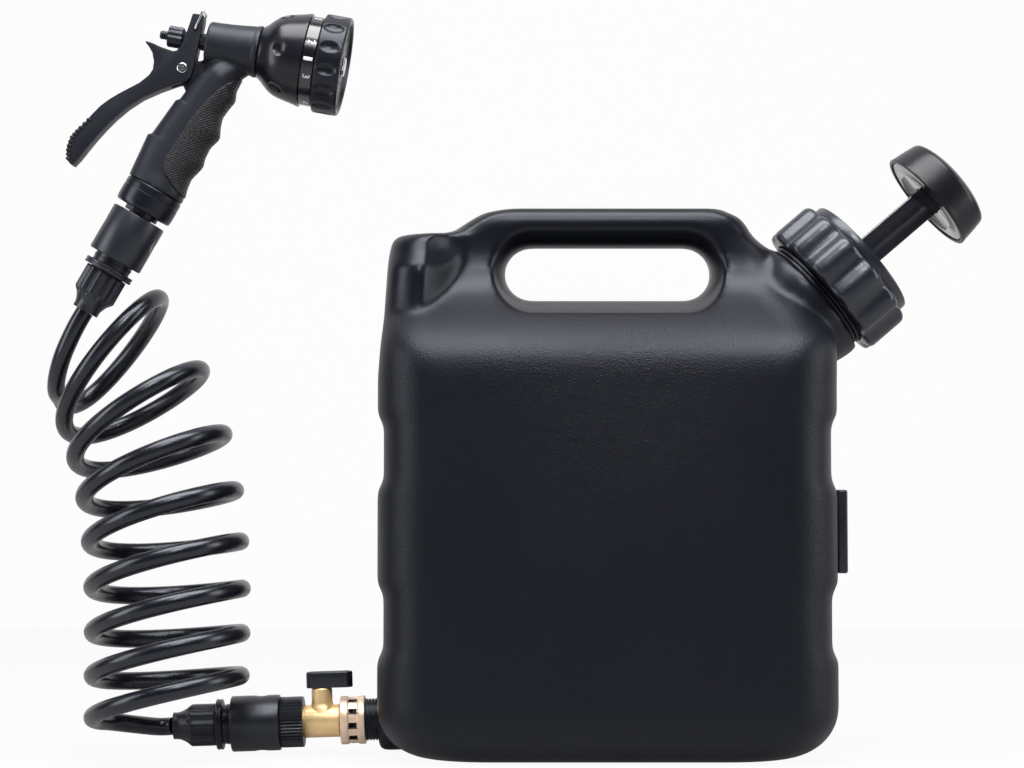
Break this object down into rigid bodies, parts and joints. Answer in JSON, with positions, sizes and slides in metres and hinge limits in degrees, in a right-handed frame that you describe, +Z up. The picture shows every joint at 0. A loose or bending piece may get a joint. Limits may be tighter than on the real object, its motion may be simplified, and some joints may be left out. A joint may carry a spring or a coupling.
{
  "type": "portable water tank",
  "caption": "Jerry-can water tank with carrying handle, angled hand air pump, brass outlet tap, coiled hose and multi-pattern spray gun",
  "frame": {"origin": "middle of the tank's flat base, on the surface it stands on", "axes": "+Z up, +X towards the pump, -Y the pictured front"},
  "size_m": [0.6158, 0.1816, 0.4821],
  "materials": {
    "tank_plastic": "satin black, fine pebble grain below the shoulder",
    "black_plastic": "semi-gloss black",
    "gloss_plastic": "polished black",
    "soft_rubber": "matt black",
    "hose_plastic": "glossy black",
    "brass": "pale machined brass",
    "steel": "bright steel",
    "white_plastic": "white seat plastic"
  },
  "bodies": {
    "tank": {"tank_shell": "tank_plastic", "side_plate": "black_plastic", "neck_gasket": "soft_rubber", "pump_cap": "black_plastic", "pump_cylinder": "black_plastic", "pump_check_valve": "soft_rubber", "outlet_stub": "black_plastic", "outlet_gasket": "soft_rubber", "outlet_locknut": "black_plastic", "swivel_washer": "soft_rubber", "tap_tailpiece": "brass", "tap_body": "brass", "tap_seat_inner": "white_plastic", "tap_seat_outer": "white_plastic", "stem_packing": "soft_rubber", "tap_adaptor": "black_plastic", "tap_adaptor_washer": "soft_rubber", "lower_connector_body": "black_plastic", "lower_o_ring": "soft_rubber", "lower_hose_nut": "black_plastic", "coil_hose": "hose_plastic", "upper_hose_nut": "black_plastic", "upper_connector_body": "black_plastic", "upper_o_ring": "soft_rubber", "gun_nipple": "black_plastic", "gun_tail_ring": "gloss_plastic", "gun_body": "soft_rubber", "grip_pad": "soft_rubber", "gun_bell": "soft_rubber", "number_ring": "black_plastic", "spray_core": "black_plastic", "dial_screw": "steel", "lever_pin": "steel", "packing_nut": "black_plastic"},
    "collar": {"pump_collar": "black_plastic"},
    "plunger": {"plunger_rod": "black_plastic", "piston": "black_plastic", "piston_seal": "soft_rubber", "plunger_knob": "gloss_plastic", "knob_underside": "black_plastic"},
    "swivel": {"swivel_nut": "brass"},
    "tap_key": {"tap_lever": "black_plastic", "tap_lever_screw": "steel", "tap_stem": "brass", "tap_ball": "steel"},
    "lower_lock": {"lower_sleeve": "black_plastic", "lower_sleeve_spring": "steel"},
    "upper_lock": {"upper_sleeve": "black_plastic", "upper_sleeve_spring": "steel"},
    "dial": {"spray_dial": "soft_rubber", "dial_face": "black_plastic"},
    "trigger": {"trigger_lever": "soft_rubber"},
    "clip": {"hold_clip": "steel"},
    "gun_valve": {"valve_rod": "steel", "poppet": "soft_rubber", "return_spring": "steel"},
    "adjuster": {"adjusting_knob": "black_plastic"}
  },
  "joints": [
    {"name": "collar_turn", "type": "hinge", "parent": "tank", "child": "collar", "pos_m": [0.1405, 0, 0.3023], "axis": [0.7604, 0, 0.6494], "continuous": true},
    {"name": "pump_stroke", "type": "slide", "parent": "tank", "child": "plunger", "axis": [0.7604, 0, 0.6494], "range_m": [-0.052, 0.105]},
    {"name": "swivel_turn", "type": "hinge", "parent": "tank", "child": "swivel", "pos_m": [-0.15, 0, 0.0223], "axis": [-0.9995, 0, -0.0332], "continuous": true},
    {"name": "tap_turn", "type": "hinge", "parent": "tank", "child": "tap_key", "pos_m": [-0.18688, 0, 0.02108], "axis": [-0.0332, 0, 0.9995], "range_deg": [0, 90]},
    {"name": "lower_sleeve_pull", "type": "slide", "parent": "tank", "child": "lower_lock", "axis": [-0.9995, 0, -0.0332], "range_m": [0, 0.005], "stiffness_N_per_m": 800, "springref_m": -0.003},
    {"name": "upper_sleeve_pull", "type": "slide", "parent": "tank", "child": "upper_lock", "axis": [-0.4955, 0, -0.8686], "range_m": [0, 0.005], "stiffness_N_per_m": 800, "springref_m": -0.003},
    {"name": "dial_turn", "type": "hinge", "parent": "tank", "child": "dial", "pos_m": [-0.2602, -0.04, 0.4617], "axis": [0.9842, 0, -0.1771], "continuous": true},
    {"name": "trigger_squeeze", "type": "hinge", "parent": "tank", "child": "trigger", "pos_m": [-0.27555, -0.04, 0.44414], "axis": [0, -1, 0], "range_deg": [0, 14], "stiffness_Nm_per_rad": 0.6, "springref_deg": -11.46},
    {"name": "clip_swing", "type": "hinge", "parent": "trigger", "child": "clip", "pos_m": [-0.26692, -0.04, 0.46951], "axis": [0, -1, 0], "range_deg": [-10, 70]},
    {"name": "valve_slide", "type": "slide", "parent": "tank", "child": "gun_valve", "axis": [-0.9842, 0, 0.1771], "range_m": [0, 0.006]},
    {"name": "adjuster_turn", "type": "hinge", "parent": "gun_valve", "child": "adjuster", "pos_m": [-0.2602, -0.04, 0.4617], "axis": [-0.9842, 0, 0.1771], "continuous": true}
  ],
  "couplings": [
    {"joint": "valve_slide", "follows": "trigger_squeeze", "m_per_rad": 0.024}
  ]
}
